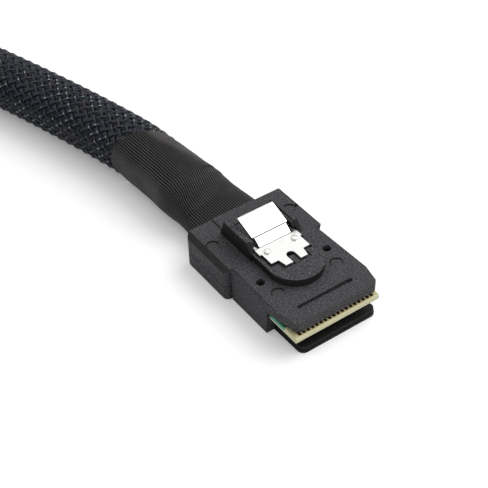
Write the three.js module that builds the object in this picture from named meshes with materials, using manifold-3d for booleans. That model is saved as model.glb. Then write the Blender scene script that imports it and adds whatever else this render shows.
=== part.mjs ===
// A breakout cable for disk drives, in millimetres. A flat moulded plug with a steel latch is at one end.
// A ribbed wrap and a braided trunk lead to a collar, and four round leads end in seven-contact plugs.
// +X is the way the big plug goes into its socket, +Z is up, and Z = 0 is the table.
import * as THREE from 'three';
import { mergeVertices } from 'three/addons/utils/BufferGeometryUtils.js';
import Module from 'manifold-3d';

const wasm = await Module();
wasm.setup();

// Housing of the big plug
const shellLength = 27.3;
const rearWidth = 18.7;
const frontWidth = 16.64;
const shellHeight = 6.34;
const rearBlockLength = 11.3;
const lipReach = 6.8;
const wall = 1.2;
const sideWall = 1.35;
const seamHeight = 2.78;
const seamGap = 0.15;
const rearBevel = 0.83;
const frontBevel = 0.45;
const cornerRadius = 1.0;

// Lips before and behind the card
const upperLipBottom = 4.57;
const upperLipSetback = 0.5;
const upperLipTipWidth = 14.6;
const lipTaperLength = 4.6;
const lowerLipWidth = 13.8;
const lowerLipThickness = 1.2;
const footRimHeight = 0.45;
const footRimReach = 0.12;

// Printed card and its fingers
const cardWidth = 15.66;
const cardTailWidth = 13.6;
const cardThickness = 1.0;
const cardBottom = 3.06;
const cardTailGap = 2.2;
const cardFit = 0.2;
const cardRoom = 0.4;
const cardLeadIn = 0.2;
const fingersPerSide = 18;
const fingerPitch = 0.8;
const fingerWidth = 0.5;
const fingerLength = 4.2;
const fingerSetback = 0.35;
const fingerHeight = 0.05;

// Boss, rails and marks on top of the housing
const bossHeight = 1.35;
const bossHalfWidth = 4.6;
const bossSetback = 6.15;
const railHeight = 3.05;
const railShelfDrop = 0.24;
const railOuter = 4.85;
const railInner = 3.65;
const railRidge = 0.7;
const railRearSetback = 24.0;
const railRearSlope = 1.2;
const railLength = 7.4;
const railFrontSlope = 1.05;
const platformHalfWidth = 4.2;
const platformHeight = 0.2;
const grooveLength = 10.4;
const grooveWidth = 0.7;
const grooveDepth = 0.6;
const grooveSetback = 3.3;
const pinHoleRadius = 0.72;
const pinHoleSetback = 10.95;
const pinHoleSpacing = 12.7;
const markRadius = 1.1;
const markDepth = 0.14;
const frontMarkSetback = 7.5;
const frontMarkSpacing = 11.1;
const rearMarkSetback = 22.1;
const rearMarkSpacing = 15.0;

// Steel latch
const latchThickness = 0.3;
const latchFloor = 1.4;
const latchFit = 0.3;
const latchFront = 10.2;
const latchWingRear = 16.9;
const latchWingHalf = 4.0;
const latchBodyHalf = 3.65;
const latchNeckHalf = 3.0;
const latchPadHalf = 3.35;
const latchSlitHalf = 3.45;
const latchProngHalf = 2.35;
const latchNotchHalf = 0.75;
const latchNotchDepth = 2.25;
const latchProngLength = 1.6;
const latchBend = 15.75;
const latchRampLength = 1.4;
const latchRampRise = 1.1;
const latchPadLength = 4.4;
const latchPadRise = 1.4;
const latchCurl = 0.45;
const latchPivotSetback = 10.45;
const latchTravel = 6;
const hookRadius = 0.55;
const hookHeight = 0.22;
const hookSpacing = 5.2;
const hookSetback = 14.3;

// Flat cables inside the housing, and the comb that holds them
const ribbonWidth = 6.2;
const ribbonThickness = 0.7;
const ribbonSpacing = 6.8;
const ribbonLift = 0.15;
const ribbonConductors = 8;
const conductorWidth = 0.32;
const conductorReach = 2.2;
const combLength = 4.6;
const combFit = 0.15;

// Wrap, trunk and collar
const wrapWidth = 12.7;
const wrapHeight = 5.0;
const trunkDiameter = 11.2;
const trunkSides = 12;
const trunkSteps = 16;
const collarLength = 22;
const collarSwell = 0.7;
const jointGap = 0.3;

// Leads and their plugs
const leadDiameter = 3.8;
const leadSides = 8;
const leadSteps = 14;
const plugWidth = 14.0;
const plugHeight = 6.0;
const plugLength = 12.5;
const plugCorner = 0.8;
const slotWidth = 10.5;
const slotHeight = 2.4;
const slotDepth = 7.0;
const slotKeyWidth = 1.3;
const slotKeyHeight = 1.1;
const plugRibWidth = 4.0;
const plugRibHeight = 0.5;
const bootLength = 9.0;
const contactPitch = 1.27;
const contactWidth = 0.6;
const contactThickness = 0.3;
const contactLength = 5.6;
const contactSeat = 0.25;

// Places worked out from the sizes above
const frontX = shellLength / 2;
const rearX = -shellLength / 2;
const stepX = rearX + rearBlockLength;
const wallEndX = frontX - lipReach;
const cardTop = cardBottom + cardThickness;
const bossTop = shellHeight + bossHeight;
const railTop = shellHeight + railHeight;
const latchBottom = shellHeight + latchFloor;

const plastic = new THREE.MeshStandardMaterial({ color: 0x2b2b2d, roughness: 0.62, metalness: 0 });
const coverPlastic = new THREE.MeshStandardMaterial({ color: 0x262628, roughness: 0.6, metalness: 0 });
const steel = new THREE.MeshStandardMaterial({ color: 0xd9d9d6, roughness: 0.3, metalness: 0.9 });
const board = new THREE.MeshStandardMaterial({ color: 0x14613f, roughness: 0.4, metalness: 0 });
const ribbonJacket = new THREE.MeshStandardMaterial({ color: 0x3b4a63, roughness: 0.5, metalness: 0 });
const combPlastic = new THREE.MeshStandardMaterial({ color: 0x1e1e20, roughness: 0.7, metalness: 0 });
const wrapCloth = new THREE.MeshStandardMaterial({ color: 0x1f1e1f, roughness: 0.85, metalness: 0 });
const braid = new THREE.MeshStandardMaterial({ color: 0x23242e, roughness: 0.7, metalness: 0 });
const collarRubber = new THREE.MeshStandardMaterial({ color: 0x141416, roughness: 0.55, metalness: 0 });
const leadJacket = new THREE.MeshStandardMaterial({ color: 0x17181d, roughness: 0.5, metalness: 0 });
const plugPlastic = new THREE.MeshStandardMaterial({ color: 0x18181a, roughness: 0.5, metalness: 0 });
const gold = new THREE.MeshStandardMaterial({ color: 0xc9a24a, roughness: 0.35, metalness: 1 });

// A closed geometry as a solid that can be cut and joined
function solid(geometry) {
  const bare = geometry.clone();
  bare.deleteAttribute('normal');
  bare.deleteAttribute('uv');
  const merged = mergeVertices(bare, 1e-4);
  return new wasm.Manifold(new wasm.Mesh({
    numProp: 3,
    vertProperties: new Float32Array(merged.attributes.position.array),
    triVerts: new Uint32Array(merged.index.array),
  }));
}

// A solid back as a geometry with flat faces
function geometryOf(body) {
  const mesh = body.getMesh();
  const geometry = new THREE.BufferGeometry();
  geometry.setAttribute('position', new THREE.BufferAttribute(new Float32Array(mesh.vertProperties), 3));
  geometry.setIndex(new THREE.BufferAttribute(new Uint32Array(mesh.triVerts), 1));
  return geometry;
}

const cable = new THREE.Group();

function addPiece(name, body, material, parent = cable) {
  const geometry = body.isBufferGeometry ? body : geometryOf(body);
  const piece = new THREE.Mesh(geometry, material);
  piece.name = name;
  parent.add(piece);
  return piece;
}

function block(x0, x1, y0, y1, z0, z1) {
  const geometry = new THREE.BoxGeometry(x1 - x0, y1 - y0, z1 - z0);
  geometry.translate((x0 + x1) / 2, (y0 + y1) / 2, (z0 + z1) / 2);
  return solid(geometry);
}

// A block that is centred across the plug
function centred(x0, x1, halfWidth, z0, z1) {
  return block(x0, x1, -halfWidth, halfWidth, z0, z1);
}

function outline(points) {
  return new THREE.Shape(points.map(([x, y]) => new THREE.Vector2(x, y)));
}

// An outline seen from above, raised from one height to another
function raised(shape, z0, z1, curveSegments = 10) {
  const geometry = new THREE.ExtrudeGeometry(shape, { depth: z1 - z0, bevelEnabled: false, curveSegments });
  geometry.translate(0, 0, z0);
  return solid(geometry);
}

// An outline seen from the side, in X and Z, drawn across the plug from y0 to y1
function across(shape, y0, y1) {
  const geometry = new THREE.ExtrudeGeometry(shape, { depth: y1 - y0, bevelEnabled: false, curveSegments: 8 });
  geometry.rotateX(Math.PI / 2);
  geometry.translate(0, y1, 0);
  return solid(geometry);
}

// An outline seen from the front, in Y and Z, drawn along the plug from x0 to x1
function along(shape, x0, x1) {
  const geometry = new THREE.ExtrudeGeometry(shape, { depth: x1 - x0, bevelEnabled: false, curveSegments: 8 });
  geometry.rotateX(Math.PI / 2);
  geometry.rotateZ(Math.PI / 2);
  geometry.translate(x0, 0, 0);
  return solid(geometry);
}

function post(x, y, z0, z1, radius, sides = 24) {
  const geometry = new THREE.CylinderGeometry(radius, radius, z1 - z0, sides);
  geometry.rotateX(Math.PI / 2);
  geometry.translate(x, y, (z0 + z1) / 2);
  return solid(geometry);
}

function roundedOutline(x0, x1, halfWidth, rearRadius, frontRadius) {
  const shape = new THREE.Shape();
  shape.moveTo(x0 + rearRadius, -halfWidth);
  shape.lineTo(x1 - frontRadius, -halfWidth);
  shape.absarc(x1 - frontRadius, -halfWidth + frontRadius, frontRadius, -Math.PI / 2, 0, false);
  shape.lineTo(x1, halfWidth - frontRadius);
  shape.absarc(x1 - frontRadius, halfWidth - frontRadius, frontRadius, 0, Math.PI / 2, false);
  shape.lineTo(x0 + rearRadius, halfWidth);
  shape.absarc(x0 + rearRadius, halfWidth - rearRadius, rearRadius, Math.PI / 2, Math.PI, false);
  shape.lineTo(x0, -halfWidth + rearRadius);
  shape.absarc(x0 + rearRadius, -halfWidth + rearRadius, rearRadius, Math.PI, 1.5 * Math.PI, false);
  return shape;
}

// The section of a block whose upper side edges are bevelled
function bevelledSection(halfWidth, z0, z1, bevel) {
  return outline([
    [-halfWidth, z0], [halfWidth, z0], [halfWidth, z1 - bevel],
    [halfWidth - bevel, z1], [-halfWidth + bevel, z1], [-halfWidth, z1 - bevel],
  ]);
}

// A body with a rounded section that changes along a row of stations
function loft(stations, sides) {
  const geometry = new THREE.CylinderGeometry(1, 1, 1, sides, stations.length - 1);
  const position = geometry.attributes.position;
  const centres = stations.map((s) => new THREE.Vector3(s.x, s.y, s.z));
  const up = new THREE.Vector3(0, 0, 1);
  const sideways = centres.map((centre, i) => {
    const heading = centres[Math.min(i + 1, centres.length - 1)].clone().sub(centres[Math.max(i - 1, 0)]);
    return up.clone().cross(heading).normalize();
  });
  for (let i = 0; i < position.count; i += 1) {
    const k = Math.round((0.5 - position.getY(i)) * (stations.length - 1));
    const station = stations[k];
    const reach = Math.hypot(position.getX(i), position.getZ(i));
    const angle = Math.atan2(position.getZ(i), position.getX(i));
    const flat = 2 / station.fullness;
    const round = (value) => Math.sign(value) * Math.abs(value) ** flat;
    const place = centres[k].clone()
      .addScaledVector(sideways[k], reach * station.halfWidth * round(Math.cos(angle)))
      .addScaledVector(up, reach * station.halfHeight * round(Math.sin(angle)));
    position.setXYZ(i, place.x, place.y, place.z);
  }
  return solid(geometry);
}

// Latch outlines from above. Every setback is measured back from the card's front edge.
const latchFrontX = frontX - latchFront;
const latchBodyX = latchFrontX - latchProngLength;
const latchWingX = frontX - hookSetback;
const latchRearTabX = frontX - latchWingRear;
const latchBendX = frontX - latchBend;
const latchRampX = latchBendX - latchRampLength;
const latchRearX = latchRampX - latchPadLength;

function mirrored(points) {
  return [...points, ...points.map(([x, y]) => [x, -y]).reverse()];
}

function latchPlateOutline(grow) {
  return outline(mirrored([
    [latchRearTabX - grow, latchWingHalf + grow],
    [latchWingX + grow, latchWingHalf + grow],
    [latchWingX + grow, latchBodyHalf + grow],
    [latchBodyX + grow, latchBodyHalf + grow],
    [latchBodyX + grow, latchProngHalf + grow],
    [latchFrontX + grow, latchProngHalf - 0.3 + grow],
  ]));
}

const pocketSideFit = 0.2;
const latchPocketOutline = outline(mirrored([
  [latchRearTabX - latchFit, latchWingHalf + pocketSideFit],
  [latchWingX + latchFit, latchWingHalf + pocketSideFit],
  [latchWingX + latchFit, latchBodyHalf + latchFit],
  [latchBodyX + latchFit, latchBodyHalf + latchFit],
  [latchBodyX + latchFit, latchProngHalf + latchFit],
  [latchFrontX + latchFit, latchProngHalf + latchFit],
]));

// Main housing, moulded in one piece: roof, front shroud with both lips, boss and rails
const rearRoof = raised(roundedOutline(rearX, stepX, rearWidth / 2, cornerRadius, cornerRadius),
  seamHeight, shellHeight)
  .intersect(along(bevelledSection(rearWidth / 2, 0, shellHeight, rearBevel), rearX - 1, stepX + 1));
const frontBlock = along(bevelledSection(frontWidth / 2, 0, shellHeight, frontBevel), stepX + seamGap, wallEndX);
const roofBridge = along(bevelledSection(frontWidth / 2, seamHeight, shellHeight, frontBevel),
  stepX - cornerRadius, stepX + 1);

const lipTipX = frontX - upperLipSetback;
const upperLipOutline = new THREE.Shape();
upperLipOutline.moveTo(wallEndX - 1, -frontWidth / 2);
upperLipOutline.lineTo(lipTipX - cornerRadius - lipTaperLength, -frontWidth / 2);
upperLipOutline.lineTo(lipTipX - cornerRadius, -upperLipTipWidth / 2);
upperLipOutline.absarc(lipTipX - cornerRadius, -upperLipTipWidth / 2 + cornerRadius, cornerRadius,
  -Math.PI / 2, 0, false);
upperLipOutline.lineTo(lipTipX, upperLipTipWidth / 2 - cornerRadius);
upperLipOutline.absarc(lipTipX - cornerRadius, upperLipTipWidth / 2 - cornerRadius, cornerRadius,
  0, Math.PI / 2, false);
upperLipOutline.lineTo(lipTipX - cornerRadius - lipTaperLength, frontWidth / 2);
upperLipOutline.lineTo(wallEndX - 1, frontWidth / 2);
const upperLip = raised(upperLipOutline, upperLipBottom, shellHeight)
  .intersect(along(bevelledSection(frontWidth / 2, 0, shellHeight, frontBevel), wallEndX - 2, frontX + 1));

const lowerLip = raised(roundedOutline(wallEndX - 1, frontX - footRimReach, lowerLipWidth / 2 - footRimReach,
  0.2, cornerRadius), 0, lowerLipThickness)
  .add(raised(roundedOutline(wallEndX - 1, frontX, lowerLipWidth / 2, 0.2, cornerRadius + footRimReach),
    0, footRimHeight));

const bossFrontX = frontX - bossSetback;
const bossCentreX = bossFrontX - bossHalfWidth;
const railRearX = frontX - railRearSetback;
const railTopRearX = railRearX + railRearSlope;
const railTopFrontX = railTopRearX + railLength - railRearSlope;
const railFrontX = railTopFrontX + railFrontSlope;
const sunk = 0.3;
const bossOutline = new THREE.Shape();
bossOutline.moveTo(railTopFrontX, -bossHalfWidth);
bossOutline.lineTo(bossCentreX, -bossHalfWidth);
bossOutline.absarc(bossCentreX, 0, bossHalfWidth, -Math.PI / 2, Math.PI / 2, false);
bossOutline.lineTo(railTopFrontX, bossHalfWidth);
const boss = raised(bossOutline, shellHeight - sunk, bossTop, 24);

function railProfile(top) {
  return outline([
    [railRearX, shellHeight - sunk], [railFrontX, shellHeight - sunk], [railFrontX, bossTop],
    [railTopFrontX, top], [railTopRearX, top],
  ]);
}
function rail(side) {
  const ridge = [side * railOuter, side * (railOuter - railRidge)].sort((a, b) => a - b);
  const shelf = [side * railOuter, side * railInner].sort((a, b) => a - b);
  return across(railProfile(railTop), ...ridge).add(across(railProfile(railTop - railShelfDrop), ...shelf));
}

const cavityRearX = rearX + sideWall;
const cavityFrontX = wallEndX - sideWall;
const rearCavityHalf = rearWidth / 2 - sideWall;
const frontCavityHalf = cardTailWidth / 2 + cardRoom;
const cavityTop = shellHeight - wall;
const cableDoorHalf = wrapWidth / 2 + latchFit;
const cableDoorBottom = 0.3;
const cardSlotHalf = cardTailWidth / 2 + cardFit;

const pocketFloor = latchBottom - (latchWingRear - latchPivotSetback) * Math.sin(latchTravel * Math.PI / 180)
  - 0.12;
const prongLedge = latchBottom - latchFit;
const ledgeX = latchFrontX - latchProngLength;
const tabTop = bossTop + 0.1;

let housing = rearRoof.add(frontBlock).add(roofBridge).add(upperLip).add(lowerLip).add(boss);
housing = housing.add(rail(1)).add(rail(-1));
housing = housing.add(centred(rearX + 0.05, railTopRearX, platformHalfWidth, shellHeight - sunk,
  shellHeight + platformHeight).subtract(centred(railRearX, railTopRearX + 1, platformHalfWidth + 1,
  shellHeight, railTop)));
housing = housing
  .subtract(centred(cavityRearX, stepX - sideWall, rearCavityHalf, wall, cavityTop))
  .subtract(centred(stepX - sideWall - 1, cavityFrontX, frontCavityHalf, wall, cavityTop))
  .subtract(centred(rearX - 1, cavityRearX + 1, cableDoorHalf, cableDoorBottom, cavityTop))
  .subtract(centred(cavityFrontX - 1, wallEndX + 1, cardSlotHalf, cardBottom - cardFit, cardTop + cardFit))
  .subtract(raised(latchPocketOutline, pocketFloor, bossTop + 1)
    .intersect(centred(latchRearTabX - 1, ledgeX, railOuter, pocketFloor, latchBottom + latchThickness + 0.35)))
  .subtract(raised(latchPocketOutline, prongLedge, bossTop + 1)
    .intersect(centred(ledgeX - 0.5, latchFrontX + 1, railOuter, prongLedge, bossTop + 1)));
housing = housing.add(centred(latchFrontX - latchNotchDepth + 0.7, latchFrontX + latchFit + 0.1,
  latchNotchHalf - latchFit, prongLedge - 0.1, tabTop));

const grooveHalf = grooveLength / 2 - grooveWidth / 2;
const grooveX = frontX - grooveSetback;
const groove = centred(grooveX - grooveWidth / 2, grooveX + grooveWidth / 2, grooveHalf,
  shellHeight - grooveDepth, shellHeight + 1)
  .add(post(grooveX, grooveHalf, shellHeight - grooveDepth, shellHeight + 1, grooveWidth / 2, 16))
  .add(post(grooveX, -grooveHalf, shellHeight - grooveDepth, shellHeight + 1, grooveWidth / 2, 16));
housing = housing.subtract(groove);
for (const side of [-1, 1]) {
  housing = housing
    .subtract(post(frontX - pinHoleSetback, side * pinHoleSpacing / 2, cavityTop - 0.2, shellHeight + 1,
      pinHoleRadius))
    .subtract(post(frontX - frontMarkSetback, side * frontMarkSpacing / 2, shellHeight - markDepth,
      shellHeight + 1, markRadius))
    .subtract(post(frontX - rearMarkSetback, side * rearMarkSpacing / 2, shellHeight - markDepth,
      shellHeight + 1, markRadius));
}
addPiece('main_shell', housing, plastic);

// Rear cover, a shallow tray that closes the housing from below
const rearCover = raised(roundedOutline(rearX, stepX, rearWidth / 2, cornerRadius, cornerRadius),
  0, seamHeight - seamGap)
  .subtract(centred(cavityRearX, stepX - sideWall, rearCavityHalf, wall, shellHeight))
  .subtract(centred(stepX - sideWall - 1, stepX + 1, frontCavityHalf, wall, shellHeight))
  .subtract(centred(rearX - 1, cavityRearX + 1, cableDoorHalf, cableDoorBottom, shellHeight));
addPiece('rear_cover', rearCover, coverPlastic);

// Printed card: a wide edge between the lips, a narrower tail inside, and plated fingers on both faces
const cardShoulderX = wallEndX + cardFit;
const combRearX = cavityRearX + combFit;
const combFrontX = combRearX + combLength;
const cardRearX = combFrontX + cardTailGap;
const cardFrontSection = outline([
  [cardShoulderX, cardBottom], [frontX - cardLeadIn, cardBottom], [frontX, cardBottom + cardLeadIn],
  [frontX, cardTop - cardLeadIn], [frontX - cardLeadIn, cardTop], [cardShoulderX, cardTop],
]);
let card = across(cardFrontSection, -cardWidth / 2, cardWidth / 2)
  .add(centred(cardRearX, cardShoulderX + 0.5, cardTailWidth / 2, cardBottom, cardTop));
const fingerX1 = frontX - fingerSetback;
for (let i = 0; i < fingersPerSide; i += 1) {
  const y = (i - (fingersPerSide - 1) / 2) * fingerPitch;
  card = card.add(block(fingerX1 - fingerLength, fingerX1, y - fingerWidth / 2, y + fingerWidth / 2,
    cardBottom - fingerHeight, cardTop + fingerHeight));
}
addPiece('paddle_card', card, board);

// Latch, bent from one strip of spring steel: prongs, wings with hooks, a ramp and a thumb pad
const latchTop = latchBottom + latchThickness;
const flatPlate = raised(latchPlateOutline(0), latchBottom, latchTop)
  .subtract(centred(latchRearTabX - 1, latchBendX, latchSlitHalf, latchBottom - 1, latchTop + 1));
const rampTop = latchBottom + latchRampRise;
const padTop = rampTop + latchPadRise;
const strip = across(outline([
  [latchBendX + 0.4, latchBottom], [latchBendX + 0.4, latchTop], [latchBendX, latchTop],
  [latchRampX, rampTop + latchThickness], [latchRearX + latchCurl, padTop + latchThickness],
  [latchRearX, padTop + latchThickness - latchCurl], [latchRearX, padTop - latchCurl],
  [latchRearX + latchCurl, padTop], [latchRampX, rampTop], [latchBendX, latchBottom],
]), -latchPadHalf, latchPadHalf);
const stripOutline = outline(mirrored([
  [latchRearX - 1, latchPadHalf], [latchRampX - 0.1, latchPadHalf], [latchRampX + 0.15, latchNeckHalf],
  [latchBendX + 1, latchNeckHalf],
]));
let latch = flatPlate.add(strip.intersect(raised(stripOutline, 0, padTop + 5)));
latch = latch
  .subtract(centred(latchFrontX - latchNotchDepth + latchNotchHalf, latchFrontX + 1, latchNotchHalf, 0, latchTop + 1))
  .subtract(post(latchFrontX - latchNotchDepth + latchNotchHalf, 0, 0, latchTop + 1, latchNotchHalf));
for (const side of [-1, 1]) {
  latch = latch.add(post(frontX - hookSetback, side * hookSpacing / 2, latchBottom, latchTop + hookHeight,
    hookRadius, 16));
}
addPiece('latch_spring', latch, steel);

// Comb that clamps the flat cables behind the card
const upperRibbonBottom = cardTop + ribbonLift;
const lowerRibbonTop = cardBottom - ribbonLift;
let comb = centred(combRearX, combFrontX, rearCavityHalf - combFit, wall + combFit, cavityTop - combFit);
for (const side of [-1, 1]) {
  const y = side * ribbonSpacing / 2;
  const half = ribbonWidth / 2 + combFit;
  comb = comb
    .subtract(block(combRearX - 1, combFrontX + 1, y - half, y + half, upperRibbonBottom - combFit, shellHeight))
    .subtract(block(combRearX - 1, combFrontX + 1, y - half, y + half, 0, lowerRibbonTop + combFit));
}
addPiece('wire_comb', comb, combPlastic);

// Four flat cables, each with bare conductors that lie on the card
const ribbonRearX = rearX + 0.6;
const ribbonFrontX = cardRearX - combFit;
const conductorPitch = ribbonWidth / ribbonConductors;
function ribbonCable(y, z0) {
  let ribbon = block(ribbonRearX, ribbonFrontX, y - ribbonWidth / 2, y + ribbonWidth / 2, z0, z0 + ribbonThickness);
  for (let i = 0; i < ribbonConductors; i += 1) {
    const wire = y + (i - (ribbonConductors - 1) / 2) * conductorPitch;
    ribbon = ribbon.add(block(ribbonFrontX - 0.5, cardRearX + conductorReach, wire - conductorWidth / 2,
      wire + conductorWidth / 2, z0 + (ribbonThickness - conductorWidth) / 2,
      z0 + (ribbonThickness + conductorWidth) / 2));
  }
  return ribbon;
}
const lowerRibbonBottom = lowerRibbonTop - ribbonThickness;
addPiece('flat_cable_upper_left', ribbonCable(-ribbonSpacing / 2, upperRibbonBottom), ribbonJacket);
addPiece('flat_cable_upper_right', ribbonCable(ribbonSpacing / 2, upperRibbonBottom), ribbonJacket);
addPiece('flat_cable_lower_left', ribbonCable(-ribbonSpacing / 2, lowerRibbonBottom), ribbonJacket);
addPiece('flat_cable_lower_right', ribbonCable(ribbonSpacing / 2, lowerRibbonBottom), ribbonJacket);

// Ribbed wrap: flat where it leaves the housing, then round where the trunk begins
const trunkRadius = trunkDiameter / 2;
const trunkHeight = trunkRadius + 0.05;
const wrapStart = rearX + jointGap;
const wrapEnd = -37.7;
const wrapHalf = wrapWidth / 2;
const wrapLow = wrapHeight / 2;
const wrapStations = [
  { x: wrapStart, y: -0.1, z: 2.75, halfWidth: wrapHalf - 0.15, halfHeight: wrapLow - 0.4, fullness: 3.4 },
  { x: -14, y: -0.1, z: 2.75, halfWidth: wrapHalf - 0.15, halfHeight: wrapLow - 0.4, fullness: 3.4 },
  { x: -14.6, y: -0.2, z: 2.75, halfWidth: wrapHalf, halfHeight: wrapLow, fullness: 3.2 },
  { x: -18, y: -0.3, z: 2.8, halfWidth: wrapHalf, halfHeight: wrapLow, fullness: 3 },
  { x: -22, y: -0.6, z: 2.8, halfWidth: wrapHalf, halfHeight: wrapLow + 0.1, fullness: 3 },
  { x: -24, y: -0.8, z: 3.2, halfWidth: wrapHalf, halfHeight: wrapLow + 0.6, fullness: 2.9 },
  { x: -26, y: -1.1, z: 4.0, halfWidth: wrapHalf, halfHeight: wrapLow + 1.4, fullness: 2.7 },
  { x: -28.5, y: -1.5, z: 4.7, halfWidth: wrapHalf - 0.1, halfHeight: wrapLow + 2.1, fullness: 2.4 },
  { x: -33, y: -2.4, z: 5.3, halfWidth: wrapHalf - 0.3, halfHeight: wrapLow + 2.75, fullness: 2.2 },
  { x: wrapEnd, y: -3.4, z: trunkHeight, halfWidth: trunkRadius, halfHeight: trunkRadius, fullness: 2 },
];
addPiece('ribbed_wrap', loft(wrapStations, 36), wrapCloth);

// Trunk: out of the wrap, round a single open ring on the table, into the collar
const trunkRoute = [
  [wrapEnd - jointGap, -3.46], [-47, -5.4], [-60, -8.8], [-73.3, -12.7], [-86, -16.6], [-99, -20.6],
  [-112.5, -25.2], [-126, -32.2], [-138.5, -43], [-148.6, -58], [-154, -75], [-154.2, -92],
  [-150, -109], [-141, -124.5], [-127.5, -137.6], [-111, -146], [-94, -149.3], [-77, -147.9], [-68.8, -145.6],
];
function route(points) {
  return new THREE.CatmullRomCurve3(points.map(([x, y, z]) => new THREE.Vector3(x, y, z)), false, 'centripetal');
}
// A round tube along a route, with its flat ends square to the route
function tube(points, diameter, sides, steps) {
  const section = new THREE.Shape();
  const turn = Math.PI / sides;
  const points2 = Array.from({ length: sides }, (_, i) => {
    const angle = turn + (2 * Math.PI * i) / sides;
    return new THREE.Vector2(diameter / 2 * Math.cos(angle), diameter / 2 * Math.sin(angle));
  });
  section.setFromPoints(points2);
  return solid(new THREE.ExtrudeGeometry(section, { steps, extrudePath: route(points), curveSegments: 1 }));
}
addPiece('braided_trunk', tube(trunkRoute.map(([x, y]) => [x, y, trunkHeight]), trunkDiameter, trunkSides,
  trunkSteps), braid);

// Collar that holds the trunk's end where the four leads part
const collarHeading = Math.atan2(2.3, 8.2);
const trunkEnd = trunkRoute[trunkRoute.length - 1];
function onCollar(reach, offset = 0) {
  return [
    trunkEnd[0] + reach * Math.cos(collarHeading) - offset * Math.sin(collarHeading),
    trunkEnd[1] + reach * Math.sin(collarHeading) + offset * Math.cos(collarHeading),
  ];
}
const collarRadius = trunkRadius + collarSwell;
const collarShare = [0, 0.05, 0.35, 0.6, 0.95, 1];
const collarReach = [-0.5, 0, 0, -0.2, -0.4, -0.9];
const collarStations = collarShare.map((share, i) => {
  const [x, y] = onCollar(jointGap + share * collarLength);
  const radius = collarRadius + collarReach[i];
  return { x, y, z: collarRadius, halfWidth: radius, halfHeight: radius, fullness: 2 };
});
addPiece('split_collar', loft(collarStations, 24), collarRubber);

// Leads leave the collar two on two, run round as one bundle and fan out to four plugs in a row.
// Each row holds the bundle's place, then the side offset and height of the lower and of the upper pair.
const leadRadius = leadDiameter / 2;
const tableGap = 0.05;
const plugAxis = plugHeight / 2 + tableGap;
const [bundleX, bundleY] = onCollar(collarLength + 2 * jointGap);
const bundleRows = [
  [bundleX, bundleY, 2.15, 4.15, 2.15, 8.45],
  [-39, -136.8, 2.15, 3.5, 2.15, 7.8],
  [-31.6, -132.2, 2.15, 2.3, 2.15, 6.6],
  [-25.6, -125.9, 2.15, 1.95, 2.15, 6.25],
  [-21.6, -118, 2.15, 1.95, 2.15, 6.25],
  [-20, -109.2, 2.15, 1.95, 2.15, 6.25],
  [-20.8, -100.2, 2.15, 1.95, 2.15, 6.25],
  [-24, -91.6, 2.15, 1.95, 2.3, 6.25],
  [-29.4, -84.2, 2.4, 1.95, 3.9, 6.1],
  [-36.6, -78.4, 3.2, 1.95, 7.6, 4.3],
  [-45.2, -74.2, 4.6, 1.95, 12.6, 2.2],
  [-54.6, -71.7, 6.1, 1.95, 17.6, 1.95],
  [-63.5, -70.9, 7.1, 2.5, 21, 2.5],
  [-68, -70.9, 7.2, plugAxis, 21.5, plugAxis],
  [-72, -70.9, 7.2, plugAxis, 21.6, plugAxis],
];
function leadRoute(side, upper) {
  return bundleRows.map(([x, y, lowOffset, lowHeight, highOffset, highHeight], i) => {
    const [backX, backY] = bundleRows[Math.max(i - 1, 0)];
    const [aheadX, aheadY] = bundleRows[Math.min(i + 1, bundleRows.length - 1)];
    const heading = Math.atan2(aheadY - backY, aheadX - backX);
    const offset = side * (upper ? highOffset : lowOffset);
    return [x - offset * Math.sin(heading), y + offset * Math.cos(heading), upper ? highHeight : lowHeight];
  });
}

// Seven-contact plug: a moulded body with an L-shaped slot, a tapered boot and seven sprung contacts.
// It is made lying along +X with its cable end at the origin, then turned to where its lead ends.
const plugRear = bootLength + 2 * jointGap;
const plugFront = plugRear + plugLength;
const slotRear = plugFront - slotDepth;
const slotFloor = plugAxis - slotHeight / 2 + 0.2;
const slotCeiling = slotFloor + slotHeight;
function plugBodySolid() {
  const half = plugWidth / 2;
  const section = outline([
    [-half + plugCorner, tableGap], [half - plugCorner, tableGap], [half, tableGap + plugCorner],
    [half, tableGap + plugHeight - plugCorner], [half - plugCorner, tableGap + plugHeight],
    [-half + plugCorner, tableGap + plugHeight], [-half, tableGap + plugHeight - plugCorner],
    [-half, tableGap + plugCorner],
  ]);
  const slotHalf = slotWidth / 2;
  const top = tableGap + plugHeight;
  return along(section, plugRear, plugFront)
    .add(centred(plugRear + 1, plugFront, plugRibWidth / 2, top - sunk, top + plugRibHeight))
    .subtract(centred(slotRear, plugFront + 1, slotHalf, slotFloor, slotCeiling))
    .subtract(block(slotRear, plugFront + 1, slotHalf - slotKeyWidth, slotHalf, slotFloor - slotKeyHeight,
      slotCeiling))
    .subtract(block(plugRear + 1.2, slotRear - 2, half - 0.5, half + 1, tableGap + 1.6, top - 1.6))
    .subtract(block(plugRear + 1.2, slotRear - 2, -half - 1, -half + 0.5, tableGap + 1.6, top - 1.6));
}
const bootStations = [
  [0, 2.5, 2.3, 2], [2.2, 2.5, 2.3, 2], [2.5, 2.25, 2.1, 2], [3.2, 2.25, 2.1, 2], [3.5, 2.8, 2.4, 2.2],
  [4.6, 3.6, 2.5, 2.6], [6, 5, 2.6, 3.6], [bootLength, 5.6, 2.7, 5],
].map(([x, halfWidth, halfHeight, fullness]) => ({
  x: jointGap + x, y: 0, z: plugAxis, halfWidth, halfHeight, fullness,
}));
const contactRear = slotRear + contactSeat;
const contactBottom = slotFloor + contactSeat;
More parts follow.
